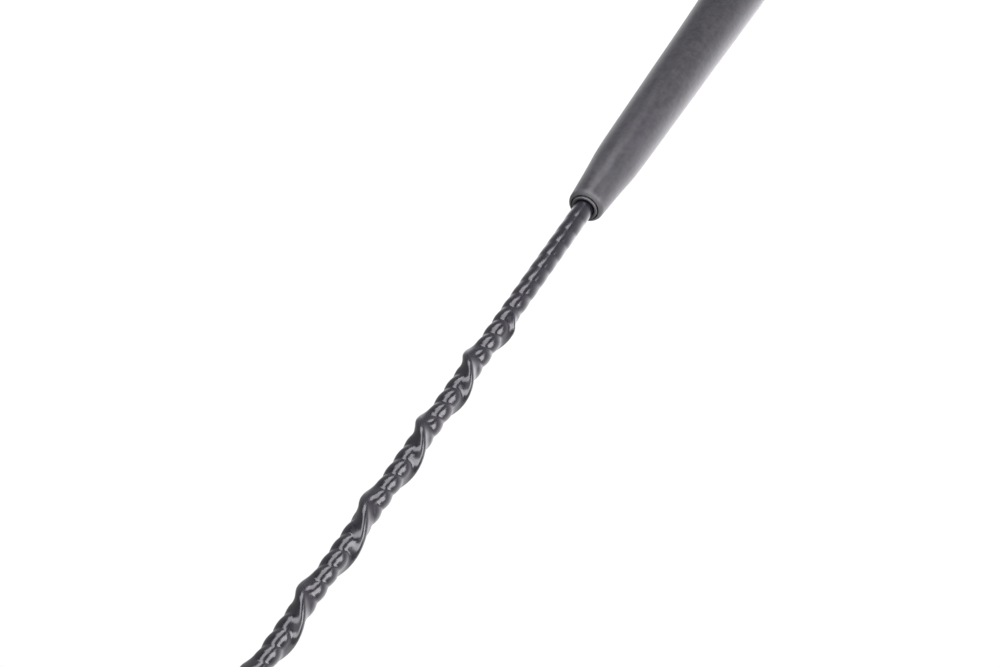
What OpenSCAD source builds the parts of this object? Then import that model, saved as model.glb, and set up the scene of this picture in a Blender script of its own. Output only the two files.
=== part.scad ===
// Screw-on mast aerial for a car roof: a sheathed, wire-wound glass-fibre whip in a tapered rubber grip.
// The mast stands along +Z with its origin at the centre of the seat face, above the threaded stud.

/* [Mast] */
// Height of the mast's tip above its seat
mast_length = 400; // [320:5:600]

/* [Grip] */
// Length of the grip from its foot to the crest of its lip
grip_length = 112.5; // [90:0.5:140]
// Diameter of the grip at its foot
foot_d = 15; // [14:0.1:22]
// Diameter of the grip at the shoulder where the nose begins
shoulder_d = 11.9; // [11:0.1:13.5]
// Length of the nose, from the shoulder to the lip
nose_length = 20; // [12:0.5:30]
// Diameter of the nose where its lip starts to round over
nose_d = 9.2; // [8.8:0.1:10.6]
// Radius of the rounded lip
lip_round = 1.3; // [1:0.05:1.4]
// Rounding of the foot's outer edge
foot_round = 0.8; // [0.3:0.1:1.5]

/* [Threaded ferrule] */
// Major diameter of the stud
stud_d = 5; // [4:0.5:6]
// Length of the stud below the seat
stud_length = 8.5; // [6:0.5:14]
// Chamfer at the stud's end
stud_chamfer = 0.6; // [0.3:0.1:1]
// Diameter of the seat flange
flange_d = 12; // [11.5:0.1:12.6]
// Thickness of the seat flange
flange_t = 2.5; // [1.5:0.1:4]
// Width across the flats of the hexagon that keys the grip
hex_af = 9.2; // [9:0.1:9.8]
// Height of the hexagon
hex_h = 4.5; // [3:0.1:7]
// Diameter of the grooved body
barrel_d = 8.8; // [8:0.1:9]
// Length of the grooved body
barrel_length = 15; // [13:0.5:22]
// Number of retaining grooves
groove_count = 3; // [1:1:3]
// Depth of a retaining groove
groove_depth = 0.7; // [0.3:0.1:1]
// Width of a retaining groove
groove_w = 1.8; // [1:0.1:2.2]
// Diameter of the ferrule's nose, where the wire is soldered
ferrule_nose_d = 6; // [5.8:0.1:6.6]
// Length of the ferrule's nose
ferrule_nose_length = 8; // [5:0.5:12]
// Depth of the socket for the core
socket_depth = 18; // [12:0.5:22]

/* [Core rod] */
// Diameter of the glass-fibre core
core_d = 3.5; // [3:0.1:4]

/* [Solder joint] */
// Height of the solder fillet on the ferrule's nose
solder_h = 2; // [1:0.1:3]
// Width of the solder fillet at its foot
solder_w = 0.9; // [0.8:0.05:1]

/* [Radiator wire] */
// Diameter of the enamelled wire
wire_d = 0.45; // [0.3:0.05:0.5]
// Pitch of the winding along the visible rod
wire_pitch = 5.45; // [5:0.05:8]
// Pitch of the lead-in inside the grip
lead_pitch = 18; // [12:1:25]
// How far below the mouth the lead-in ends
lead_end_depth = 24; // [10:1:40]
// Direction in which the wire leaves the mouth, in degrees
wire_side = 7; // [0:1:359]

/* [Spiral cord] */
// Diameter of the cord under the sleeve, which breaks up the wind noise
cord_d = 0.7; // [0.5:0.05:0.8]
// Mean pitch of the cord, wound against the wire
cord_pitch = 28.6; // [22:0.1:40]
// Height above the mouth at which the ridge over the cord begins
cord_start = 47.5; // [20:0.5:80]
// Direction in which the ridge begins, in degrees
cord_side = 232; // [0:1:359]
// Wander of the hand-laid pitch, in turns
cord_wander = 0.07; // [0:0.01:0.1]
// Length over which the pitch wanders once
wander_length = 110; // [80:5:140]
// Distance of the ridge's end below the tip cap
cord_end_gap = 16; // [8:1:40]

/* [Shrink sleeve] */
// Wall of the shrunk sleeve between two turns of wire
sleeve_wall = 0.33; // [0.3:0.01:0.4]
// Wall of the sleeve where it is stretched over wire and cord
stretched_wall = 0.3; // [0.25:0.01:0.35]
// Length over which the sleeve rises to the cord at each end of the ridge
cord_run = 3.5; // [2:0.5:6]

/* [Mouth bush] */
// Length of the bush that centres the rod in the mouth
bush_length = 9.5; // [6:0.5:14]
// Wall of the bush at its nose ring
bush_wall = 0.34; // [0.3:0.01:0.5]
// Height of the nose ring above the grip's lip
bush_stand = 0.45; // [0.2:0.05:1]
// Width of the groove between the nose ring and the lip
mouth_groove = 0.3; // [0.2:0.05:0.5]
// Depth of that groove
mouth_groove_depth = 1.2; // [0.6:0.1:2]

/* [Tip cap] */
// Length of the tip cap
cap_length = 12; // [9:0.5:18]
// Wall of the cap's skirt
cap_wall = 0.75; // [0.5:0.05:1.2]
// Thickness of the cap's end
cap_end = 3.2; // [2:0.1:5]

/* [Hidden] */
$fn = 96;

// Moulded and glued joints keep a hair of clearance, and the rod runs free in the bush
joint_gap = 0.03;
rod_gap = 0.45;

// Heights
hex_top = flange_t + hex_h;
barrel_top = hex_top + barrel_length;
ferrule_top = barrel_top + ferrule_nose_length;
solder_top = ferrule_top + solder_h;
shoulder_z = grip_length - nose_length;
cap_base = mast_length - cap_length;
bore_end = mast_length - cap_end;
sleeve_top = bore_end - 0.5;
core_top = sleeve_top - 1;
wire_start = solder_top + 0.2;
wire_end = cap_base + 0.3 * cap_length;
sleeve_start = wire_start + 1.6;
bell_top = sleeve_start + 3;
lead_end = grip_length - lead_end_depth;
cord_foot = grip_length + cord_start;
cord_top = cap_base - cord_end_gap;

// Radii
core_r = core_d / 2;

// The sleeve is meshed in columns that follow the cord and rows that follow the wire,
// and each radius allows for the chords of the curve that lies inside it
columns = 10;
wire_sides = 3;
outer_rows = 3;
inner_rows = 2;
cord_sides = 4;
cord_steps = 12;
valley_in = (core_r + joint_gap) / cos(180 / columns);
valley_out = valley_in + sleeve_wall;
wire_r = valley_in + wire_d / 2 * cos(180 / wire_sides);
crest_in = wire_r + wire_d / 2 + joint_gap;
crest_out = crest_in + stretched_wall;
cord_r = (crest_in + joint_gap) / cos(180 / cord_steps) + cord_d / 2;
cord_rate = 1 / cord_pitch + cord_wander * 2 * PI / wander_length;
ridge_in = (cord_r + cord_d / 2) / cos(180 * cord_rate * wire_pitch / inner_rows) + joint_gap;
ridge_out = ridge_in + stretched_wall;
web_rise = 0.15;

// The rod's bore in the grip and the bush
bore_r = crest_out + rod_gap;
ring_r = bore_r + bush_wall;
seat_r = ring_r + mouth_groove;
collar_r = seat_r + 0.35;

// Turns of the wire from the mouth, right-handed, slower in the lead-in
function wire_turns(z) = z < lead_end
    ? (lead_end - grip_length) / wire_pitch + (z - lead_end) / lead_pitch
    : (z - grip_length) / wire_pitch;
function wire_angle(z) = wire_side + 360 * wire_turns(z);

// Turns of the ridge from its foot to its top, left-handed
function cord_turns(z) =
    let (run = min(max(z, cord_foot), cord_top) - cord_foot)
    run / cord_pitch + cord_wander * (1 - cos(360 * run / wander_length));
function cord_angle(z) = cord_side - 360 * cord_turns(z);

// Heights at which the wire crosses the columns, one after another
function lag(z) = (wire_angle(z) - cord_angle(z)) / 360;
function lag_rate(z) = (lag(z + 0.2) - lag(z - 0.2)) / 0.4;
function crossing(z, turns, rounds = 6) = rounds == 0 ? z
    : crossing(z + (turns - lag(z)) / lag_rate(z), turns, rounds - 1);
first_crossing = ceil(lag(wire_start) * columns);
last_crossing = floor(lag(wire_end) * columns);
crossings = [for (k = first_crossing, z = crossing(wire_start, k / columns); k <= last_crossing;
                  k = k + 1, z = crossing(z, k / columns)) z];
sheathed = len([for (z = crossings) if (z < sleeve_start + wire_pitch / 2) z]);
last = len(crossings) - 1 - sheathed;

function column_of(k) = (k + sheathed + first_crossing + 100 * columns) % columns;
function column_angle(k, z) = cord_angle(z) + 360 * (k + sheathed + first_crossing) / columns;
function ring_point(r, angle, z) = [r * cos(angle), r * sin(angle), z];
function blend(a, b, t) = a + (b - a) * min(1, max(0, t));

// How far the sleeve has risen to the cord at a height
function cord_share(z) =
    min(1, max(0, (z - cord_foot) / cord_run)) * min(1, max(0, (cord_top - z) / cord_run));

// Radius of one skin of the sleeve at a column, on the crest over the wire or in the valley
function skin_r(column, z, on_crest, crest, valley, ridge) =
    let (plain = on_crest || z < bell_top ? crest : valley)
    column == 0 ? blend(plain, ridge, cord_share(z))
    : column == 1 || column == columns - 1 ? blend(plain, crest + web_rise, cord_share(z))
    : plain;

// Rows of a skin: each turn of wire gives the same few, one of them on the wire
function row_offset(j, rows) = wire_pitch * (j - floor((rows - 1) / 2)) / rows;
function skin_points(rows, crest, valley, ridge) = concat(
    [for (k = [0:last], j = [0:rows - 1])
        let (z = crossings[k + sheathed] + row_offset(j, rows))
        ring_point(skin_r(column_of(k), z, row_offset(j, rows) == 0, crest, valley, ridge),
                   column_angle(k, z), z)],
    [for (k = [0:columns - 1]) ring_point(crest, column_angle(k, sleeve_start), sleeve_start)],
    [for (k = [last - columns + 1:last]) ring_point(valley, column_angle(k, sleeve_top), sleeve_top)]);

// Triangles of a skin whose points start at base, anticlockwise seen from outside
function skin_faces(rows, base) =
    let (point = function (k, j) base + k * rows + j,
         start = base + (last + 1) * rows,
         top = start + columns,
         low = columns - 1,
         high = last - columns + 1)
    concat(
        [for (k = [0:last - 1], j = [0:rows - 2], half = [0:1])
            half == 0 ? [point(k, j), point(k + 1, j), point(k + 1, j + 1)]
                      : [point(k, j), point(k + 1, j + 1), point(k, j + 1)]],
        [for (k = [0:last - columns - 1], half = [0:1])
            half == 0 ? [point(k, rows - 1), point(k + 1, rows - 1), point(k + 1 + columns, 0)]
                      : [point(k, rows - 1), point(k + 1 + columns, 0), point(k + columns, 0)]],
        [for (k = [0:columns - 2], half = [0:1])
            half == 0 ? [start + k, start + k + 1, point(k + 1, 0)]
                      : [start + k, point(k + 1, 0), point(k, 0)]],
        [[point(low, 0), start + low, start], [point(low, 0), start, point(0, 0)]],
        [for (j = [0:rows - 2]) [point(low, 0), point(0, j), point(0, j + 1)]],
        [[point(low, 0), point(0, rows - 1), point(columns, 0)]],
        [for (k = [0:columns - 2], half = [0:1])
            half == 0 ? [point(high + k, rows - 1), point(high + k + 1, rows - 1), top + k + 1]
                      : [point(high + k, rows - 1), top + k + 1, top + k]],
        [[point(high, rows - 1), top, top + columns - 1],
         [point(high, rows - 1), top + columns - 1, point(last, rows - 1)]],
        [for (j = [1:rows - 1]) [point(high, rows - 1), point(last, j), point(last, j - 1)]],
        [[point(high, rows - 1), point(last, 0), point(high - 1, rows - 1)]]);
function flip(faces) = [for (f = faces) [for (i = [len(f) - 1:-1:0]) f[i]]];

// Faces of a bar swept through rings of so many sides
function bar_faces(rings, sides) = concat(
    [[for (s = [0:sides - 1]) s]],
    [for (i = [0:rings - 2], s = [0:sides - 1], half = [0:1])
        let (a = i * sides + s, b = i * sides + (s + 1) % sides)
        half == 0 ? [a, a + sides, b + sides] : [a, b + sides, b]],
    [[for (s = [sides - 1:-1:0]) (rings - 1) * sides + s]]);

// Points along an arc in a profile
function arc(x, y, r, from, to, steps) =
    [for (i = [0:steps]) let (a = from + (to - from) * i / steps) [x + r * cos(a), y + r * sin(a)]];

// Profile of the grooved barrel, grown outwards by a clearance
function barrel_profile(grow) =
    let (step = barrel_length / groove_count, r = barrel_d / 2 + grow, half = groove_w / 2)
    concat([[0, hex_top - 0.01], [r, hex_top - 0.01]],
           [for (g = [0:groove_count - 1], p = [[r, -half], [r - groove_depth, -half + 0.3],
                                                 [r - groove_depth, half - 0.3], [r, half]])
               [p[0], hex_top + step * (g + 0.5) + p[1]]],
           [[r, barrel_top + grow], [0, barrel_top + grow]]);

module threaded_ferrule() {
    color([0.72, 0.70, 0.66])
    difference() {
        union() {
            translate([0, 0, -stud_length])
                cylinder(h = stud_chamfer, r1 = stud_d / 2 - stud_chamfer, r2 = stud_d / 2);
            translate([0, 0, stud_chamfer - stud_length])
                cylinder(h = stud_length - stud_chamfer + flange_t / 2, d = stud_d);
            cylinder(h = flange_t, d = flange_d);
            cylinder(h = hex_top, r = hex_af / 2 / cos(30), $fn = 6);
            rotate_extrude() polygon(barrel_profile(0));
            cylinder(h = ferrule_top, d = ferrule_nose_d);
        }
        translate([0, 0, ferrule_top - socket_depth])
            cylinder(h = socket_depth + 1, r = core_r + joint_gap);
    }
}

module grip() {
    foot_r = foot_d / 2;
    nose_r = nose_d / 2;
    lip_z = grip_length - lip_round;
    mouth_z = grip_length - mouth_groove_depth;
    color([0.36, 0.36, 0.38])
    difference() {
        rotate_extrude()
            polygon(concat([[0, 0]],
                           arc(foot_r - foot_round, foot_round, foot_round, -90, 0, 6),
                           [[shoulder_d / 2 + 0.05, shoulder_z - 4], [shoulder_d / 2 - 0.08, shoulder_z],
                            [shoulder_d / 2 - 0.33, shoulder_z + 3]],
                           arc(nose_r - lip_round, lip_z, lip_round, 6, 90, 8),
                           [[0, grip_length]]));
        translate([0, 0, -1]) cylinder(h = flange_t + 1 + joint_gap, r = flange_d / 2 + joint_gap);
        cylinder(h = hex_top + joint_gap, r = (hex_af / 2 + joint_gap) / cos(30), $fn = 6);
        rotate_extrude() polygon(barrel_profile(joint_gap));
        cylinder(h = ferrule_top + joint_gap, r = ferrule_nose_d / 2 + joint_gap);
        cylinder(h = grip_length + 1, r = bore_r);
        translate([0, 0, grip_length - bush_length]) cylinder(h = bush_length / 3, r = collar_r + joint_gap);
        translate([0, 0, grip_length - bush_length]) cylinder(h = bush_length + 1, r = seat_r);
        translate([0, 0, mouth_z])
            cylinder(h = mouth_groove_depth + 0.01, r1 = seat_r, r2 = seat_r + 0.12);
    }
}

module mouth_bush() {
    base = grip_length - bush_length;
    shelf = grip_length - mouth_groove_depth;
    top = grip_length + bush_stand;
    mid_r = (bore_r + ring_r) / 2;
    color([0.42, 0.42, 0.44])
    rotate_extrude()
        polygon(concat([[bore_r, base + joint_gap], [collar_r, base + joint_gap],
                        [collar_r, base + bush_length / 3 - joint_gap],
                        [seat_r - joint_gap, base + bush_length / 3 - joint_gap],
                        [seat_r - joint_gap, shelf], [ring_r, shelf]],
                       arc(mid_r, top - bush_wall / 2, bush_wall / 2, 0, 180, 8)));
}

module core_rod() {
    foot = ferrule_top - socket_depth + joint_gap;
    color([0.86, 0.84, 0.74])
    translate([0, 0, foot]) cylinder(h = core_top - foot, r = core_r);
}

module solder_joint() {
    inner = core_r + joint_gap;
    rim = solder_w / 3;
    color([0.75, 0.76, 0.78])
    rotate_extrude()
        polygon(concat([[inner, ferrule_top]],
                       arc(inner + solder_w, solder_top, solder_w - rim, 270, 180, 6),
                       [[inner, solder_top]]));
}

module radiator_wire() {
    points = [for (z = crossings, s = [0:wire_sides - 1])
        ring_point(wire_r + wire_d / 2 * cos(360 * s / wire_sides), wire_angle(z),
                   z + wire_d / 2 * sin(360 * s / wire_sides))];
    color([0.72, 0.38, 0.20])
    polyhedron(points, flip(bar_faces(len(crossings), wire_sides)));
}

module spiral_cord() {
    cover = cord_run + wire_pitch / inner_rows;
    height = cord_top - cord_foot - 2 * cover;
    rings = ceil(height * cord_rate * cord_steps) + 1;
    points = [for (i = [0:rings - 1], s = [0:cord_sides - 1])
        let (z = cord_foot + cover + height * i / (rings - 1),
             slope = -360 * (cord_turns(z + 0.1) - cord_turns(z)) / 0.1 * cord_r * PI / 180,
             a = 360 * s / cord_sides,
             out = cord_d / 2 * cos(a),
             side = cord_d / 2 * sin(a) / sqrt(1 + slope * slope))
        ring_point(cord_r + out, cord_angle(z), z - side * slope)
        + side * [-sin(cord_angle(z)), cos(cord_angle(z)), 0]];
    color([0.20, 0.20, 0.22])
    polyhedron(points, bar_faces(rings, cord_sides));
}

module shrink_sleeve() {
    outer = skin_points(outer_rows, crest_out, valley_out, ridge_out);
    inner = skin_points(inner_rows, crest_in, valley_in, ridge_in);
    outer_start = (last + 1) * outer_rows;
    inner_start = len(outer) + (last + 1) * inner_rows;
    function end_ring(a, b) = [for (k = [0:columns - 1], half = [0:1])
        let (n = (k + 1) % columns)
        half == 0 ? [a + k, a + n, b + n] : [a + k, b + n, b + k]];
    color([0.10, 0.10, 0.12])
    polyhedron(concat(outer, inner),
               concat(flip(skin_faces(outer_rows, 0)),
                      skin_faces(inner_rows, len(outer)),
                      end_ring(outer_start, inner_start),
                      flip(end_ring(outer_start + columns, inner_start + columns))));
}

module tip_cap() {
    bore = crest_out + joint_gap;
    cap_r = bore + cap_wall;
    crown = cap_r * 1.1;
    color([0.12, 0.12, 0.13])
    rotate_extrude()
        polygon(concat([[bore, cap_base], [cap_r - 0.25, cap_base], [cap_r, cap_base + 0.25]],
                       [for (a = [0:9:81]) [cap_r * cos(a), mast_length - crown + crown * sin(a)]],
                       [[0, mast_length], [0, bore_end], [bore - 0.4, bore_end], [bore, bore_end - 0.4]]));
}

threaded_ferrule();
grip();
mouth_bush();
core_rod();
solder_joint();
radiator_wire();
spiral_cord();
shrink_sleeve();
tip_cap();
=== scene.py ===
import math
import bpy
import numpy as np
from mathutils import Matrix, Vector


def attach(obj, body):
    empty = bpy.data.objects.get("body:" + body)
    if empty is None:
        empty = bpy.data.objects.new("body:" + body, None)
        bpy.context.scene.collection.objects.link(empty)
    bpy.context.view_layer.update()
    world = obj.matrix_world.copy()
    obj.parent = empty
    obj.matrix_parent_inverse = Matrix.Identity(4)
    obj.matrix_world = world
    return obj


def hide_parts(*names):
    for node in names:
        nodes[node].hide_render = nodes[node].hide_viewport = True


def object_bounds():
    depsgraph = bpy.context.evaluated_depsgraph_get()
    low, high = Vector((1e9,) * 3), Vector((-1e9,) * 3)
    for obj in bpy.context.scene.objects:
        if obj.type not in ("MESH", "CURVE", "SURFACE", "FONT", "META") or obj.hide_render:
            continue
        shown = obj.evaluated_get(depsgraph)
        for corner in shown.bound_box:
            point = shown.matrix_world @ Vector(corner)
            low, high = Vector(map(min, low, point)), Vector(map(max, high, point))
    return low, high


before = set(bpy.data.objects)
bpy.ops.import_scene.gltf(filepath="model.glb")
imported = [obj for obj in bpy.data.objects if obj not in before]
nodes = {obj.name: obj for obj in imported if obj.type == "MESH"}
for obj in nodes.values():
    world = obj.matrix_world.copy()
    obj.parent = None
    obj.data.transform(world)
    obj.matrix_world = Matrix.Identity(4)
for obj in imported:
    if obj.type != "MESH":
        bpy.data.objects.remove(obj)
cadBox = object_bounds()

mm = 0.001
scene = bpy.context.scene
scene.view_settings.view_transform = "Standard"


# helpers for selecting, editing and finishing a mesh

def deselectAll():
    if bpy.context.object and bpy.context.object.mode != "OBJECT":
        bpy.ops.object.mode_set(mode="OBJECT")
    bpy.ops.object.select_all(action="DESELECT")


def makeActive(piece):
    deselectAll()
    piece.select_set(True)
    bpy.context.view_layer.objects.active = piece


def applyPlace(piece):
    makeActive(piece)
    bpy.ops.object.transform_apply(location=True, rotation=True, scale=True)


def cleanMesh(piece):
    makeActive(piece)
    bpy.ops.object.mode_set(mode="EDIT")
    bpy.ops.mesh.select_all(action="SELECT")
    bpy.ops.mesh.remove_doubles(threshold=0.0004 * mm)
    bpy.ops.mesh.normals_make_consistent(inside=False)
    bpy.ops.object.mode_set(mode="OBJECT")


def turned(name, rings, sides, closed=False):
    # a lathe by hand: a circle is extruded and scaled from ring to ring, (radius, height) in mm.
    # A closed profile runs back to its first ring, any other has its two ends filled
    deselectAll()
    radius, height = rings[0]
    bpy.ops.mesh.primitive_circle_add(vertices=sides, radius=radius * mm, location=(0, 0, height * mm))
    piece = bpy.context.object
    piece.name = piece.data.name = name
    applyPlace(piece)
    bpy.ops.object.mode_set(mode="EDIT")
    bpy.ops.mesh.select_all(action="SELECT")
    if not closed:
        bpy.ops.mesh.edge_face_add()
    bpy.ops.mesh.select_mode(type="EDGE")
    for nextRadius, nextHeight in rings[1:]:
        bpy.ops.mesh.extrude_edges_move(
            TRANSFORM_OT_translate={"value": (0, 0, (nextHeight - height) * mm)})
        scale = nextRadius / radius
        bpy.ops.transform.resize(value=(scale, scale, 1), center_override=(0, 0, nextHeight * mm))
        radius, height = nextRadius, nextHeight
    if closed:
        bpy.ops.mesh.select_all(action="DESELECT")
        bpy.ops.mesh.select_non_manifold()
        bpy.ops.mesh.bridge_edge_loops()
    else:
        bpy.ops.mesh.edge_face_add()
    bpy.ops.mesh.select_mode(type="VERT")
    bpy.ops.object.mode_set(mode="OBJECT")
    cleanMesh(piece)
    return piece


def gridPiece(name, radii, heights, angles):
    # a flat grid wrapped round the mast: one row of radii for each height, one column for each angle
    rows, columns = radii.shape
    deselectAll()
    bpy.ops.mesh.primitive_grid_add(x_subdivisions=columns, y_subdivisions=rows - 1, size=1)
    piece = bpy.context.object
    piece.name = piece.data.name = name
    flat = np.empty(len(piece.data.vertices) * 3)
    piece.data.vertices.foreach_get("co", flat)
    flat = flat.reshape(-1, 3)
    column = np.rint((flat[:, 0] + 0.5) * columns).astype(int) % columns
    row = np.rint((flat[:, 1] + 0.5) * (rows - 1)).astype(int)
    r = radii[row, column]
    angle = angles[row, column]
    made = np.stack([r * np.cos(angle), r * np.sin(angle), heights[row]], 1) * mm
    piece.data.vertices.foreach_set("co", made.ravel())
    piece.data.update()
    return piece


def arc(x, y, r, start, end, steps):
    # points of an arc in a profile, angles in degrees
    return [(x + r * math.cos(math.radians(start + (end - start) * i / steps)),
             y + r * math.sin(math.radians(start + (end - start) * i / steps)))
            for i in range(steps + 1)]


def smoothed(points, heights):
    # a smooth profile through (radius, height) points: a cubic from each to the next, with one slope at each
    radii = [r for r, h in points]
    places = [h for r, h in points]
    last = len(points) - 1
    slopes = []
    for i in range(len(points)):
        below, above = max(i - 1, 0), min(i + 1, last)
        slopes.append((radii[above] - radii[below]) / (places[above] - places[below]))
    made = []
    for height in heights:
        i = max(k for k in range(last) if places[k] <= height + 1e-9)
        span = places[i + 1] - places[i]
        t = (height - places[i]) / span
        radius = ((2 * t ** 3 - 3 * t ** 2 + 1) * radii[i] + (t ** 3 - 2 * t ** 2 + t) * span * slopes[i]
                  + (3 * t ** 2 - 2 * t ** 3) * radii[i + 1] + (t ** 3 - t ** 2) * span * slopes[i + 1])
        made.append((radius, height))
    return made


# shader maths

class Value:
    # a node's output, so that shader maths reads as plain expressions
    def __init__(self, finish, socket):
        self.finish = finish
        self.socket = socket

    def maths(self, operation, first, second):
        return self.finish.node("Math", {"operation": operation}, {0: first, 1: second})

    def __add__(self, other):
        return self.maths("ADD", self, other)

    def __radd__(self, other):
        return self.maths("ADD", other, self)

    def __sub__(self, other):
        return self.maths("SUBTRACT", self, other)

    def __rsub__(self, other):
        return self.maths("SUBTRACT", other, self)

    def __mul__(self, other):
        return self.maths("MULTIPLY", self, other)

    def __rmul__(self, other):
        return self.maths("MULTIPLY", other, self)

    def __truediv__(self, other):
        return self.maths("DIVIDE", self, other)

    def __pow__(self, other):
        return self.maths("POWER", self, other)

    def atLeast(self, least):
        return self.maths("MAXIMUM", self, least)

    def between(self, low, high):
        # 0 at low, 1 at high, smooth in between
        return self.finish.node("MapRange", {"interpolation_type": "SMOOTHSTEP"},
                                {"Value": self, "From Min": low, "From Max": high})


class Finish:
    # one node tree, for a material or for the world
    def __init__(self, owner):
        self.owner = owner
        owner.use_nodes = True
        self.tree = owner.node_tree
        self.tree.nodes.clear()

    def node(self, kind, settings=None, sockets=None, output=0):
        made = self.tree.nodes.new("ShaderNode" + kind)
        for key, value in (settings or {}).items():
            setattr(made, key, value)
        for key, value in (sockets or {}).items():
            if isinstance(value, Value):
                self.tree.links.new(value.socket, made.inputs[key])
            else:
                made.inputs[key].default_value = value
        return Value(self, made.outputs[output])

    def place(self):
        return self.node("TexCoord", output="Object")

    def noise(self, scale, detail=3, roughness=0.5, where=None):
        # fine variation; scale in features per millimetre
        return self.node("TexNoise", None, {"Vector": where or self.place(), "Scale": scale / mm,
                                            "Detail": detail, "Roughness": roughness})

    def mix(self, factor, first, second):
        # two colours
        def colour(value):
            return value if isinstance(value, Value) else (*value, 1)
        return self.node("Mix", {"data_type": "RGBA"},
                         {0: factor, 6: colour(first), 7: colour(second)}, output=2)

    def bump(self, height, depth):
        # depth in millimetres
        return self.node("Bump", None, {"Height": height, "Distance": depth * mm, "Strength": 1})

    def surface(self, **sockets):
        # a Principled surface; sockets by name with spaces left out
        made = self.tree.nodes.new("ShaderNodeBsdfPrincipled")
        names = {key.replace(" ", ""): key for key in made.inputs.keys()}
        for key, value in sockets.items():
            socket = made.inputs[names[key]]
            if isinstance(value, Value):
                self.tree.links.new(value.socket, socket)
            elif isinstance(value, tuple):
                socket.default_value = (*value, 1)
            else:
                socket.default_value = value
        self.close(Value(self, made.outputs[0]))

    def close(self, shader, kind="OutputMaterial"):
        end = self.tree.nodes.new("ShaderNode" + kind)
        self.tree.links.new(shader.socket, end.inputs["Surface"])


def newFinish(name):
    return Finish(bpy.data.materials.new(name))


def scaled(colour, share):
    return tuple(part * share for part in colour)


def dress(piece, finish):
    piece.data.materials.clear()
    piece.data.materials.append(finish.owner)


# camera: set to the photograph's view, with an assumed lens; place in metres, lens and sensor in mm

camera = {
    "place": (0.0, -0.5896, 0.7500),
    "right": (-0.817, -0.407, -0.409),
    "back": (0.001, -0.710, 0.704),
    "lens": 126.0,
    "sensor": 36.0,
    "farthest": 20,
}


def addCamera():
    back = Vector(camera["back"]).normalized()
    right = Vector(camera["right"])
    right = (right - back * right.dot(back)).normalized()
    up = back.cross(right)
    data = bpy.data.cameras.new("camera")
    data.lens = camera["lens"]
    data.sensor_width = camera["sensor"]
    data.clip_end = camera["farthest"]
    made = bpy.data.objects.new("camera", data)
    scene.collection.objects.link(made)
    turn = Matrix((right, up, back)).transposed().to_4x4()
    made.matrix_world = Matrix.Translation(camera["place"]) @ turn
    scene.camera = made


addCamera()
print("camera placed")

# floor, background and lights

stage = {
    "floorSize": 4.0,
    "floorDrop": 0.05,           # mm under the stud's end
    "floorColour": (0.90, 0.90, 0.90),
    "seenLevel": 1.33,           # how bright the floor is to the camera, over its shadows
    "seenShare": 0.6,
    "ambient": 0.50,             # the room's own light
    "backgroundLevel": 1.0,
    "tint": (0.985, 0.965, 1.0),
    "lightLift": 2,              # mm from the stud's end up to the lying lights
}


def addStage():
    low = cadBox[0][2]
    deselectAll()
    bpy.ops.mesh.primitive_plane_add(size=stage["floorSize"],
                                     location=(0, 0, low - stage["floorDrop"] * mm))
    floor = bpy.context.object
    floor.name = "floor"
    applyPlace(floor)
    finish = newFinish("paleFloor")
    path = finish.tree.nodes.new("ShaderNodeLightPath")
    seen = Value(finish, path.outputs["Is Camera Ray"])
    matt = finish.node("BsdfDiffuse", None, {"Color": (*stage["floorColour"], 1)})
    bright = finish.node("Emission", None, {"Color": (1, 1, 1, 1), "Strength": stage["seenLevel"]})
    finish.close(finish.node("MixShader", None, {0: seen * stage["seenShare"], 1: matt, 2: bright}))
    dress(floor, finish)

    world = bpy.data.worlds.new("studio")
    scene.world = world
    sky = Finish(world)
    path = sky.tree.nodes.new("ShaderNodeLightPath")
    direct = Value(sky, path.outputs["Is Camera Ray"])
    gloss = Value(sky, path.outputs["Is Glossy Ray"])
    strength = (direct + gloss) * (stage["backgroundLevel"] - stage["ambient"]) + stage["ambient"]
    sky.close(sky.node("Background", None, {"Color": (1, 1, 1, 1), "Strength": strength}),
              "OutputWorld")


lights = {
    # lying lights cover a stretch of floor in x and y, in metres; standing ones face the mast from a side,
    # in degrees round it from the camera's side, positive towards -x
    "stripLow": {"x": (0.037, 0.165), "y": (-0.17, -0.116), "level": 6.9},
    "stripFar": {"x": (0.062, 0.30), "y": (-0.50, -0.17), "level": 5.9},
    "stripHigh": {"side": -27, "away": 0.52, "low": 0.0, "high": 0.30, "width": 0.24, "level": 6.7},
    "secondNear": {"x": (-0.112, -0.058), "y": (-0.22, -0.165), "level": 4.0},
    "secondLow": {"x": (-0.42, -0.10), "y": (-0.62, -0.22), "level": 9.5},
    "secondHigh": {"side": 31, "away": 0.66, "low": 0.0, "high": 0.34, "width": 0.30, "level": 8.0},
    "sideHigh": {"side": 108, "away": 0.85, "low": 0.0, "high": 0.36, "width": 0.9, "level": 2.0},
}
cards = {
    # seen only in reflections: how the studio looks to a glossy surface, in metres and degrees
    "greyCard": {"middle": (0.13, 0.17, 0.30), "size": (0.60, 0.46), "turn": (0, -90, 0), "level": 0.55},
    "skyCard": {"middle": (-0.10, -0.20, 1.15), "size": (2.0, 2.0), "turn": (0, 0, 0), "level": 2.2},
    "frontCard": {"middle": (-0.10, -1.25, 0.62), "size": (2.2, 1.0), "turn": (90, 0, 0), "level": 1.9},
}
glow = {
    # the floor as glossy surfaces see it; sides as for the lights, lift in mm, distances in metres
    "size": 1.4, "lift": 1.0,
    "least": 0.20, "most": 4, "nearLift": 0.20,
    "side": 113, "spread": 0.56, "lobe": 1.85, "power": 2.6,      # brightest side, broad and narrow
    "leftSide": -137, "left": 0.85, "leftPower": 7,               # a second, narrow side
    "backSide": 180, "back": 0.42, "backPower": 2,
    "near": 0.10, "far": 0.15, "fade": 0.47,                      # dimmer from near to far
    "farther": 0.24, "rise": 0.45,                                # from there on more one-sided
}


def onlyReflected(plane):
    plane.visible_camera = plane.visible_shadow = plane.visible_diffuse = False


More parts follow.
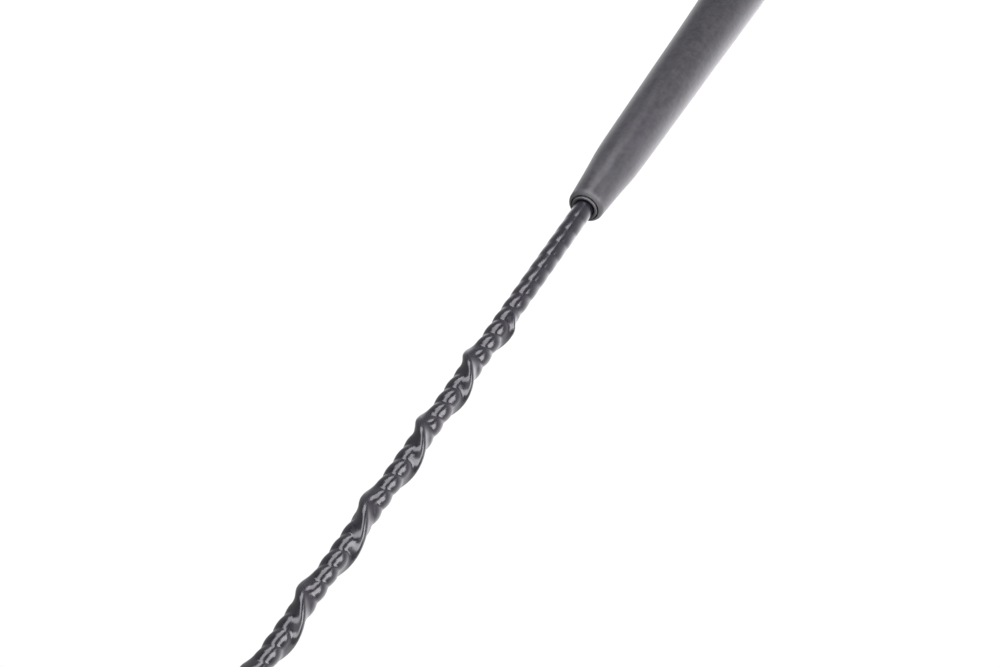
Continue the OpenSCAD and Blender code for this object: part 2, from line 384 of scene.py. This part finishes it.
def addGlow():
    g = glow
    deselectAll()
    bpy.ops.mesh.primitive_plane_add(size=g["size"], location=(0, 0, cadBox[0][2] + g["lift"] * mm))
    plane = bpy.context.object
    plane.name = "floorGlow"
    applyPlace(plane)
    onlyReflected(plane)
    finish = newFinish("floorGlow")
    tiny = 0.0001
    flat = finish.node("VectorMath", {"operation": "MULTIPLY"}, {0: finish.place(), 1: (1, 1, 0)})
    away = finish.node("VectorMath", {"operation": "LENGTH"}, {0: flat}, output="Value")

    def facing(degrees):
        # 1 towards this side of the mast, -1 on the opposite one
        side = math.radians(degrees)
        along = finish.node("VectorMath", {"operation": "DOT_PRODUCT"},
                            {0: flat, 1: (-math.sin(side), -math.cos(side), 0)}, output="Value")
        return along / (away + tiny)

    beyond = away.between(g["far"], g["farther"])
    bright = facing(g["side"])
    lobe = g["lobe"] * bright.atLeast(tiny) ** g["power"]
    left = g["left"] * facing(g["leftSide"]).atLeast(tiny) ** g["leftPower"]
    back = g["back"] * facing(g["backSide"]).atLeast(tiny) ** g["backPower"]
    level = g["spread"] * (bright + 1) * (1 - g["rise"] * beyond) + lobe * (1 + g["rise"] * beyond)
    level = (level + left + back) * (1 - g["fade"] * away.between(g["near"], g["far"]))
    level = level + g["nearLift"] * (1 - beyond)
    tint = (*stage["tint"], 1)
    dull = finish.node("Emission", None, {"Color": tint, "Strength": g["least"]})
    full = finish.node("Emission", None, {"Color": tint, "Strength": g["most"]})
    share = level / (g["most"] - g["least"])
    finish.close(finish.node("MixShader", None, {0: share, 1: dull, 2: full}))
    dress(plane, finish)


def addLights():
    low = cadBox[0][2] + stage["lightLift"] * mm
    for name, light in lights.items():
        data = bpy.data.lights.new(name, "AREA")
        data.shape = "RECTANGLE"
        lamp = bpy.data.objects.new(name, data)
        scene.collection.objects.link(lamp)
        lamp.visible_camera = False
        data.color = stage["tint"]
        if "x" in light:
            data.size = light["x"][1] - light["x"][0]
            data.size_y = light["y"][1] - light["y"][0]
            lamp.location = (sum(light["x"]) / 2, sum(light["y"]) / 2, low)
            lamp.rotation_euler = (math.pi, 0, 0)
        else:
            side = math.radians(light["side"])
            outward = Vector((-math.sin(side), -math.cos(side), 0))
            data.size = light["width"]
            data.size_y = light["high"] - light["low"]
            middle = Vector((0, 0, (light["low"] + light["high"]) / 2))
            lamp.location = outward * light["away"] + middle
            lamp.rotation_euler = (-outward).to_track_quat("-Z", "Y").to_euler()
        data.energy = light["level"] * math.pi * data.size * data.size_y
    for name, card in cards.items():
        deselectAll()
        bpy.ops.mesh.primitive_plane_add(size=1, location=card["middle"],
                                         rotation=[math.radians(a) for a in card["turn"]])
        plane = bpy.context.object
        plane.name = name
        plane.scale = (*card["size"], 1)
        applyPlace(plane)
        onlyReflected(plane)
        finish = newFinish(name)
        finish.close(finish.node("Emission", None, {"Strength": card["level"]}))
        dress(plane, finish)


addStage()
addLights()
addGlow()
print("floor, background and lights ready")

# sleeve: the glossy film shrunk over the wire and the spiral cord

winding = {
    # the same values as in the part's source, in mm, degrees and turns
    "mouth": 112.5, "leadEnd": 88.5, "leadPitch": 18.0, "pitch": 5.45, "side": 7.0,
    "cordFoot": 160.0, "cordTop": 372.0, "cordPitch": 28.6, "cordSide": 232.0,
    "wander": 0.07, "wanderLength": 110.0, "cordRun": 3.5,
    "filmRun": 1.2,              # how far the film's ridge runs on past the cord's ends
}
sleeve = {
    "foot": 33.8, "bellTop": 36.8, "top": 396.3,
    # radii of the film between two turns and over the wire, outside and inside
    "valley": 2.17, "crest": 2.53, "valleyIn": 1.80, "crestIn": 2.24,
    # radii over the cord, and of the round it has there: slacker on the cord's foot side than on its tip side
    "ridge": 3.56, "roundFoot": 1.8, "roundTip": 1.2, "ridgeIn": 3.12, "roundIn": 0.40,
    "capReach": 1,               # radians round the rod within which the cord can lift the film
    # beads between the turns at the mouth, below the cord's foot and above it: how deep, and how lopsided
    "below": 14, "above": 6, "relief": (0.16, 0.34, 1.10), "skew": (-0.08, -0.07, 0),
    "beadPower": 1.9, "nickRound": 0.12, "least": 1.78,
    # beside the cord the film is drawn along the rod too: how much, how far round in radians, and the fading
    "alongFoot": 0.5, "reachFoot": 2.2, "alongTip": 0.3, "reachTip": 1.2, "reachFade": 0.9, "alongRun": 8,
    "columns": 84, "rounds": 300, "innerColumns": 16, "innerRounds": 60,
    "crowding": 0.45,            # draws the columns towards the cord
    # rows: from a height to a height in steps of
    "rows": ((33.8, 98, 1.3), (98, 389, 0.29), (389, 396.3, 0.9)),
    "innerRows": ((33.8, 158, 1.3), (158, 374, 0.45), (374, 396.3, 1.0)),
    "colour": (0.0062, 0.0058, 0.0092), "roughness": 0.185, "rippleDepth": 0.006,
}


def wireTurns(z):
    # turns of the wire from the mouth, slower in the lead-in
    w = winding
    lead = (w["leadEnd"] - w["mouth"]) / w["pitch"] + (z - w["leadEnd"]) / w["leadPitch"]
    return np.where(z < w["leadEnd"], lead, (z - w["mouth"]) / w["pitch"])


def cordAngle(z):
    # direction of the cord's middle, left-handed, with its wander
    w = winding
    run = np.clip(z, w["cordFoot"] - w["filmRun"], w["cordTop"] + w["filmRun"]) - w["cordFoot"]
    turns = run / w["cordPitch"] + w["wander"] * (1 - np.cos(2 * np.pi * run / w["wanderLength"]))
    return np.radians(w["cordSide"]) - 2 * np.pi * turns


def cordShare(z):
    # how far the film has risen to the cord
    w = winding
    run = w["cordRun"] + w["filmRun"]
    share = np.clip((z - w["cordFoot"] + w["filmRun"]) / run, 0, 1)
    share = share * np.clip((w["cordTop"] + w["filmRun"] - z) / run, 0, 1)
    return share * share * (3 - 2 * share)


def apartFrom(fromCord):
    # the same angle counted either way round, 0 over the cord and pi opposite it
    return np.abs((fromCord + np.pi) % (2 * np.pi) - np.pi)


def filmRadius(fromCord, z, valley, crest, ridge, roundFoot, roundTip):
    # fromCord is the angle round the rod from the cord's middle
    s = sleeve
    angle = cordAngle(z) + fromCord
    turns = wireTurns(z) - (angle - np.radians(winding["side"])) / (2 * np.pi)
    stations = [winding["mouth"], winding["cordFoot"] - s["below"], winding["cordFoot"] + s["above"]]
    offset = turns - np.round(turns)
    offset = offset + np.interp(z, stations, s["skew"]) * (1 - 4 * offset ** 2)
    nick = 1 - np.abs(offset) * 2       # 1 on the wire, 0 midway between two turns
    nick = np.sqrt(nick ** 2 + s["nickRound"] ** 2) - s["nickRound"] * (1 - nick)
    relief = np.interp(z, stations, s["relief"])
    bead = crest - (crest - valley) * relief * (1 - np.clip(nick, 0, 1)) ** s["beadPower"]
    bead = np.maximum(bead, s["least"])
    bead = np.where(z < s["bellTop"], crest, bead)
    cap = np.where(fromCord < np.pi, roundTip, roundFoot)
    centre = ridge - cap
    apart = apartFrom(fromCord)
    onCap = centre * np.cos(apart) + np.sqrt(np.maximum(cap ** 2 - (centre * np.sin(apart)) ** 2, 0))
    overCord = (centre * np.sin(apart) < cap) & (apart < s["capReach"])
    return np.where(overCord, bead + np.maximum(onCap - bead, 0) * cordShare(z), bead)


def straightAlong(fromCord, heights, step):
    # where the next row holds the point at the same side of the rod, as two places and the second's share
    columns = len(fromCord)
    rows = np.clip(np.arange(len(heights)) + step, 0, len(heights) - 1)
    moved = fromCord[None, :] + (cordAngle(heights) - cordAngle(heights[rows]))[:, None]
    found = np.interp(moved % (2 * np.pi), np.append(fromCord, 2 * np.pi), np.arange(columns + 1))
    first = np.floor(found).astype(int)
    start = rows[:, None] * columns
    return start + first % columns, start + (first + 1) % columns, found - first


def stretched(table, fromCord, heights, rounds):
    # the film lies on wire and cord like a taut skin: round the rod it spans straight from support to
    # support, and near the cord it is drawn along the rod as well, more so on the cord's foot side
    s = sleeve
    run = s["alongRun"]
    zone = np.clip((heights - winding["cordFoot"] + run) / run, 0, 1)
    zone = zone * np.clip((winding["cordTop"] + run - heights) / run, 0, 1)
    tipSide = fromCord < np.pi
    reach = np.where(tipSide, s["reachTip"], s["reachFoot"])
    strength = np.where(tipSide, s["alongTip"], s["alongFoot"])
    strength = strength * np.clip((reach - apartFrom(fromCord)) / s["reachFade"], 0, 1)
    pull = zone[:, None] * strength[None, :]
    before = np.roll(fromCord, 1)
    before[0] -= 2 * np.pi
    after = np.roll(fromCord, -1)
    after[-1] += 2 * np.pi
    whole, first, last = (np.sin(a)[None, :] for a in (after - before, fromCord - before, after - fromCord))
    neighbours = [straightAlong(fromCord, heights, step) for step in (-1, 1)]
    made = table
    for step in range(rounds):
        left = np.roll(made, 1, 1)
        right = np.roll(made, -1, 1)
        chord = left * right * whole / (left * first + right * last)
        flat = made.ravel()
        along = sum(flat[a] * (1 - share) + flat[b] * share for a, b, share in neighbours) / 2
        made = np.maximum(table, chord + pull * (along - chord))
    return made


def wrapped(name, columns, stretches, shape, rounds):
    # the film's grid: its columns follow the cord, its rows lie closer where the form is finer
    heights = np.concatenate([np.arange(*stretch) for stretch in stretches] + [[stretches[-1][1]]])
    share = np.arange(columns) / columns
    fromCord = 2 * np.pi * share - sleeve["crowding"] * np.sin(2 * np.pi * share)
    table = filmRadius(fromCord[None, :], heights[:, None], *shape)
    table = stretched(table, fromCord, heights, rounds)
    return gridPiece(name, table, heights, cordAngle(heights)[:, None] + fromCord[None, :])


def addSleeve():
    s = sleeve
    outer = wrapped("shrinkSleeve", s["columns"], s["rows"],
                    (s["valley"], s["crest"], s["ridge"], s["roundFoot"], s["roundTip"]), s["rounds"])
    inner = wrapped("sleeveInside", s["innerColumns"], s["innerRows"],
                    (s["valleyIn"], s["crestIn"], s["ridgeIn"], s["roundIn"], s["roundIn"]), s["innerRounds"])
    makeActive(inner)
    bpy.ops.object.mode_set(mode="EDIT")
    bpy.ops.mesh.select_all(action="SELECT")
    bpy.ops.mesh.flip_normals()
    bpy.ops.object.mode_set(mode="OBJECT")
    makeActive(outer)
    inner.select_set(True)
    bpy.ops.object.join()
    bpy.ops.object.mode_set(mode="EDIT")
    bpy.ops.mesh.select_all(action="SELECT")
    bpy.ops.mesh.remove_doubles(threshold=0.001 * mm)
    for end in (s["foot"], s["top"]):
        # the film's wall is closed at each end
        bpy.ops.mesh.select_all(action="DESELECT")
        bpy.ops.object.mode_set(mode="OBJECT")
        level = [abs(v.co.z - end * mm) < 0.0001 * mm for v in outer.data.vertices]
        for edge in outer.data.edges:
            edge.select = level[edge.vertices[0]] and level[edge.vertices[1]]
        bpy.ops.object.mode_set(mode="EDIT")
        bpy.ops.mesh.select_mode(type="EDGE")
        bpy.ops.mesh.bridge_edge_loops()
    bpy.ops.mesh.select_mode(type="VERT")
    bpy.ops.object.mode_set(mode="OBJECT")
    bpy.ops.object.shade_smooth()
    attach(outer, "root")
    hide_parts("shrink_sleeve")
    return outer


def filmFinish():
    film = newFinish("sleeveFilm")
    soft = film.noise(0.6, 3)
    grain = film.noise(9, 3)
    ripple = film.noise(0.8, 2)
    colour = film.mix(soft, sleeve["colour"], scaled(sleeve["colour"], 1.7))
    film.surface(BaseColor=colour, Roughness=sleeve["roughness"] + 0.03 * soft,
                 Normal=film.bump(ripple + grain * 0.3, sleeve["rippleDepth"]))
    return film


sleevePiece = addSleeve()
dress(sleevePiece, filmFinish())
print("sleeve wrapped over wire and cord:", len(sleevePiece.data.polygons), "faces")

# grip: the tapered rubber handle with its rounded lip

grip = {
    # outside: (radius, height) measured down the taper, and the heights at which it is turned
    "footRadius": 7.5, "footRound": 0.8,
    "taper": [(7.47, 1.6), (7.36, 10), (7.09, 24.7), (6.82, 38.2), (6.58, 54.4), (6.31, 70.2), (6.06, 85.6),
              (5.93, 90.5), (5.80, 93.4), (5.53, 96.9), (5.25, 100.7), (5.02, 104.4), (4.80, 108.1),
              (4.60, 111.2)],
    "heights": [1.6, 5, 10, 15, 20, 25, 30, 35, 40, 45, 50, 55, 60, 65, 70, 75, 80, 84, 86, 88, 89, 90,
                91, 92, 93, 94, 95, 96, 97, 98, 99, 100, 102, 104, 106, 108, 109.5, 111.2],
    "lipRadius": 1.3, "lipHeight": 111.2, "noseRadius": 4.60, "mouthRadius": 3.63,
    # inside, from the mouth down: the lip's inner edge, the bush's seat, the wire's room, the ferrule's nose
    "mouth": [(0.12, 112.46), (0.06, 112.3), (0, 111.9), (0, 111.3), (0, 106.2)],       # past mouthRadius
    "seat": [(4.01, 106.2), (4.01, 103.0), (2.99, 103.0), (2.99, 30.03), (3.03, 30.03), (3.03, 22.03)],
    # round the ferrule's barrel, its grooves, its hexagon and its flange
    "barrel": 4.43, "grooves": (19.5, 14.5, 9.5), "ribRadius": 3.73, "ribFoot": 0.9, "ribTop": 0.6,
    "hexagon": 5.36, "hexTop": 7.03, "flange": 6.03, "flangeTop": 2.53,
    "sides": 128,
    "colour": (0.0265, 0.0255, 0.0305), "pale": 1.32, "dark": 0.68,
    # painted highlight: a paler colour on the rounded lip stands in for the light it catches; lipFade gives
    # the heights where it fades in
    "lipPaintedHighlight": (0.062, 0.060, 0.066), "lipFade": (0.1100, 0.1122),      # heights in metres
    "roughness": 0.32, "grainDepth": 0.045,
}


def addGrip():
    g = grip
    mouth = g["mouthRadius"]
    rings = [(g["flange"], 0.0)]
    rings += arc(g["footRadius"] - g["footRound"], g["footRound"], g["footRound"], -90, 0, 6)
    rings += smoothed(g["taper"], g["heights"])
    lip = arc(g["noseRadius"] - g["lipRadius"], g["lipHeight"], g["lipRadius"], 8, 90, 12)
    rings += [(r, z) for r, z in lip if r > mouth + 0.14]       # up to where the inner edge begins
    rings += [(mouth + past, z) for past, z in g["mouth"]]
    rings += g["seat"] + [(g["barrel"], g["seat"][-1][1])]
    for groove in g["grooves"]:
        rings += [(g["barrel"], groove + g["ribFoot"]), (g["ribRadius"], groove + g["ribTop"]),
                  (g["ribRadius"], groove - g["ribTop"]), (g["barrel"], groove - g["ribFoot"])]
    rings += [(g["barrel"], g["hexTop"]), (g["hexagon"], g["hexTop"]), (g["hexagon"], g["flangeTop"]),
              (g["flange"], g["flangeTop"])]
    piece = turned("rubberGrip", rings, g["sides"], closed=True)
    makeActive(piece)
    bpy.ops.object.shade_smooth_by_angle(angle=math.radians(35))
    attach(piece, "root")
    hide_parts("grip")
    return piece


def rubberFinish():
    rubber = newFinish("gripRubber")
    cloud = rubber.noise(0.12, 4)
    along = rubber.node("VectorMath", {"operation": "MULTIPLY"}, {0: rubber.place(), 1: (1, 1, 0.12)})
    streak = rubber.noise(0.9, 4, 0.6, along)
    mottle = rubber.noise(0.7, 5, 0.6)
    grain = rubber.noise(5, 4)
    fine = rubber.noise(16, 2)
    worn = cloud * 0.3 + streak * 0.35 + mottle * 0.35
    patches = mottle * 0.6 + streak * 0.4
    colour = rubber.mix(patches.between(0.38, 0.62), scaled(grip["colour"], grip["dark"]),
                        scaled(grip["colour"], grip["pale"]))
    # painted highlight: from this height up the lip is coloured paler, standing in for the light its rounded
    # edge catches; it is also rougher there
    height = rubber.node("SeparateXYZ", None, {"Vector": rubber.place()}, output="Z")
    lip = height.between(*grip["lipFade"])
    colour = rubber.mix(lip, colour, grip["lipPaintedHighlight"])
    relief = grain * 0.35 + fine * 0.2 + mottle + streak * 0.8
    rubber.surface(BaseColor=colour, Roughness=grip["roughness"] + 0.16 * worn + 0.08 * lip,
                   Normal=rubber.bump(relief, grip["grainDepth"]))
    return rubber


gripPiece = addGrip()
dress(gripPiece, rubberFinish())
print("grip turned")

# mouth bush: the ring that centres the rod in the grip's mouth

bush = {
    "bore": 2.66, "ring": 3.33, "seat": 3.60, "collar": 3.98,
    "base": 103.03, "collarTop": 106.14, "shelf": 111.3, "top": 112.95,
    "edge": 0.12, "boreEdge": 0.08,
    "fineRings": 3, "ringSteps": 8, "fineDepth": 0.08, "dish": 0.16, "dishPower": 1.5,
    "sides": 96,
    "colour": (0.092, 0.089, 0.098), "roughness": 0.42, "grainDepth": 0.006,
}


def addBush():
    b = bush
    rings = [(b["bore"], b["base"]), (b["collar"], b["base"]), (b["collar"], b["collarTop"]),
             (b["seat"], b["collarTop"]), (b["seat"], b["shelf"]), (b["ring"], b["shelf"])]
    rings += arc(b["ring"] - b["edge"], b["top"] - b["edge"], b["edge"], 0, 90, 6)
    # the dished top, turned with fine rings
    outer = b["ring"] - b["edge"]
    inner = b["bore"] + b["boreEdge"]
    steps = b["fineRings"] * b["ringSteps"]
    for step in range(1, steps + 1):
        share = step / steps
        wave = b["fineDepth"] * (math.cos(2 * math.pi * share * b["fineRings"]) - 1) / 2
        rings.append((outer - (outer - inner) * share,
                      b["top"] - b["dish"] * share ** b["dishPower"] + wave))
    rings += [(b["bore"], b["top"] - b["dish"] - b["edge"])]
    piece = turned("mouthRing", rings, b["sides"], closed=True)
    makeActive(piece)
    bpy.ops.object.shade_smooth_by_angle(angle=math.radians(35))
    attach(piece, "root")
    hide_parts("mouth_bush")
    return piece


def bushFinish():
    plastic = newFinish("bushPlastic")
    cloud = plastic.noise(0.8, 3)
    grain = plastic.noise(9, 3)
    colour = plastic.mix(cloud, bush["colour"], scaled(bush["colour"], 1.2))
    plastic.surface(BaseColor=colour, Roughness=bush["roughness"] + 0.1 * cloud,
                    Normal=plastic.bump(grain, bush["grainDepth"]))
    return plastic


bushPiece = addBush()
dress(bushPiece, bushFinish())
print("mouth ring seated")

# tip cap: the small moulding that closes the sleeve

cap = {
    "base": 388.0, "top": 400.0, "bore": 2.57, "radius": 3.32, "boreEnd": 396.8, "floorRadius": 2.2,
    "chamfer": 0.4, "rim": 0.1, "rimRound": 0.25,
    "crown": 1.1,                # height of the domed end in radii
    "crownSteps": 30, "middle": 0.06, "sides": 64,
    "colour": (0.035, 0.035, 0.039), "roughness": 0.40, "grainDepth": 0.01,
}


def addCap():
    c = cap
    crown = c["radius"] * c["crown"]
    rings = [(c["middle"], c["boreEnd"]), (c["floorRadius"], c["boreEnd"]),
             (c["bore"], c["boreEnd"] - c["chamfer"]), (c["bore"], c["base"] + c["rim"]),
             (c["bore"] + c["rim"], c["base"])]
    rings += arc(c["radius"] - c["rimRound"], c["base"] + c["rimRound"], c["rimRound"], -90, 0, 5)
    for step in range(c["crownSteps"]):
        a = math.radians(90 * step / c["crownSteps"])
        rings.append((c["radius"] * math.cos(a), c["top"] - crown + crown * math.sin(a)))
    rings += [(c["middle"], c["top"])]
    piece = turned("tipCap", rings, c["sides"])
    makeActive(piece)
    bpy.ops.object.shade_smooth_by_angle(angle=math.radians(35))
    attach(piece, "root")
    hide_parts("tip_cap")
    return piece


def capFinish():
    rubber = newFinish("capRubber")
    cloud = rubber.noise(0.5, 3)
    grain = rubber.noise(8, 3)
    colour = rubber.mix(cloud, cap["colour"], scaled(cap["colour"], 1.3))
    rubber.surface(BaseColor=colour, Roughness=cap["roughness"] + 0.1 * cloud,
                   Normal=rubber.bump(grain, cap["grainDepth"]))
    return rubber


capPiece = addCap()
dress(capPiece, capFinish())
print("tip cap moulded")

# ferrule: threaded stud, flange, hexagon, grooved barrel and the nose the rod is glued into

ferrule = {
    "studRadius": 2.5, "rootRadius": 2.02, "threadPitch": 0.8, "studEnd": -8.5, "chamfer": 0.6,
    "runOut": 0.9, "rowsPerPitch": 10, "toothSlope": 2.6, "toothFoot": 0.15, "endRing": 1.5,
    "flangeRadius": 6.0, "flangeTop": 2.5,
    "rim": [(0.4, 0.0), (0.15, 0.06), (0.04, 0.2), (0.0, 0.4)],      # in from the flange's radius and faces
    "hexAcross": 9.2, "hexCorner": 5.22, "hexChamfer": 4.95, "hexTop": 7.0,
    "barrelRadius": 4.4, "barrelTop": 22.0,
    "grooves": (9.5, 14.5, 19.5), "grooveRadius": 3.7, "grooveHalf": 0.9,
    "noseRadius": 3.0, "noseTop": 30.0, "boreRadius": 1.78, "boreEnd": 12.0,
    "columns": 72,
}


def threadRadius(angles, z):
    f = ferrule
    turn = ((z - f["studEnd"]) / f["threadPitch"] - angles / (2 * np.pi)) % 1
    tooth = np.clip((0.5 - np.abs(turn - 0.5)) * f["toothSlope"] - f["toothFoot"], 0, 1)
    r = f["rootRadius"] + (f["studRadius"] - f["rootRadius"]) * tooth
    start = f["studRadius"] - f["chamfer"] + (z - f["studEnd"])
    fading = np.clip(-z / f["runOut"], 0, 1)
    return np.minimum(f["rootRadius"] + (np.minimum(r, start) - f["rootRadius"]) * fading, start)


def hexRadius(angles):
    f = ferrule
    fromFlat = (angles + math.pi / 6) % (math.pi / 3) - math.pi / 6
    return np.minimum(f["hexAcross"] / 2 / np.cos(fromFlat), f["hexCorner"])


def grooveRings(middle):
    # one retaining groove in the barrel, with its edges broken
    f = ferrule
    outer, inner, half = f["barrelRadius"], f["grooveRadius"], f["grooveHalf"]
    side = [(outer, half + 0.08), (outer - 0.04, half), (inner + 0.04, half - 0.3), (inner, half - 0.36)]
    return [(r, middle - away) for r, away in side] + [(r, middle + away) for r, away in reversed(side)]


def addFerrule():
    f = ferrule
    around = 2 * np.pi * np.arange(f["columns"]) / f["columns"]
    flange, flangeTop, hexTop = f["flangeRadius"], f["flangeTop"], f["hexTop"]
    barrel, barrelTop = f["barrelRadius"], f["barrelTop"]
    nose, noseTop, bore = f["noseRadius"], f["noseTop"], f["boreRadius"]

    # from the stud's end up the outside, over the nose and down the bore
    rows = [(0 * around, f["studEnd"]), (f["endRing"] + 0 * around, f["studEnd"])]
    for z in np.arange(f["studEnd"], -0.1, f["threadPitch"] / f["rowsPerPitch"]):
        rows.append((threadRadius(around, z), z))
    level = [(2.0, -0.05), (2.15, 0.0)]
    level += [(flange - back, up) for back, up in f["rim"]]
    level += [(flange - back, flangeTop - down) for back, down in reversed(f["rim"])]
    rows += [(r + 0 * around, z) for r, z in level]
    corner = hexRadius(around)
    chamfered = np.minimum(corner, f["hexChamfer"])
    rows += [(corner, flangeTop), (corner, hexTop - 0.4), (chamfered, hexTop - 0.15),
             (f["hexAcross"] / 2 - 0.02 + 0 * around, hexTop)]
    level = [(barrel, hexTop), (barrel, hexTop + 0.3)]
    for middle in f["grooves"]:
        level += grooveRings(middle)
    level += [(barrel, barrelTop - 0.3), (barrel - 0.08, barrelTop - 0.08), (barrel - 0.3, barrelTop)]
    level += [(nose + 0.15, barrelTop), (nose, barrelTop + 0.15), (nose, noseTop - 0.4),
              (nose - 0.1, noseTop - 0.1), (nose - 0.3, noseTop), (2.0, noseTop)]
    level += [(bore + 0.05, noseTop - 0.1), (bore, noseTop - 0.3), (bore, f["boreEnd"] + 0.5),
              (0.0, f["boreEnd"])]
    rows += [(r + 0 * around, z) for r, z in level]
    radii = np.array([r for r, z in rows])
    heights = np.array([z for r, z in rows])
    piece = gridPiece("ferrule", radii, heights, np.tile(around, (len(rows), 1)))
    cleanMesh(piece)
    makeActive(piece)
    bpy.ops.object.shade_smooth_by_angle(angle=math.radians(30))
    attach(piece, "root")
    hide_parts("threaded_ferrule")
    return piece


ferrulePiece = addFerrule()
print("ferrule turned and threaded:", len(ferrulePiece.data.polygons), "faces")

# finishes of the pieces that stay as the CAD gives them

def metalFinish(name, colour, roughness, metallic=1.0):
    metal = newFinish(name)
    cloud = metal.noise(1.5, 3)
    grain = metal.noise(20, 2)
    tone = metal.mix(cloud, scaled(colour, 0.9), colour)
    metal.surface(BaseColor=tone, Metallic=metallic, Roughness=roughness + 0.1 * cloud,
                  Normal=metal.bump(grain, 0.004))
    return metal


def plainFinish(name, colour, roughness):
    plain = newFinish(name)
    cloud = plain.noise(0.8, 3)
    grain = plain.noise(10)
    tone = plain.mix(cloud, scaled(colour, 0.85), colour)
    plain.surface(BaseColor=tone, Roughness=roughness + 0.08 * cloud, Normal=plain.bump(grain, 0.004))
    return plain


# colour, roughness and how metallic
cadFinishes = {
    "threaded_ferrule": metalFinish("platedBrass", (0.62, 0.60, 0.56), 0.25),
    "solder_joint": metalFinish("solder", (0.60, 0.61, 0.63), 0.3),
    "radiator_wire": metalFinish("enamelledCopper", (0.55, 0.24, 0.12), 0.22, 0.6),
    "core_rod": plainFinish("glassFibre", (0.72, 0.68, 0.50), 0.35),
    "spiral_cord": plainFinish("cordPlastic", (0.10, 0.10, 0.11), 0.3),
}
for name, finish in cadFinishes.items():
    dress(nodes[name], finish)
dress(ferrulePiece, cadFinishes["threaded_ferrule"])
print("CAD pieces finished")
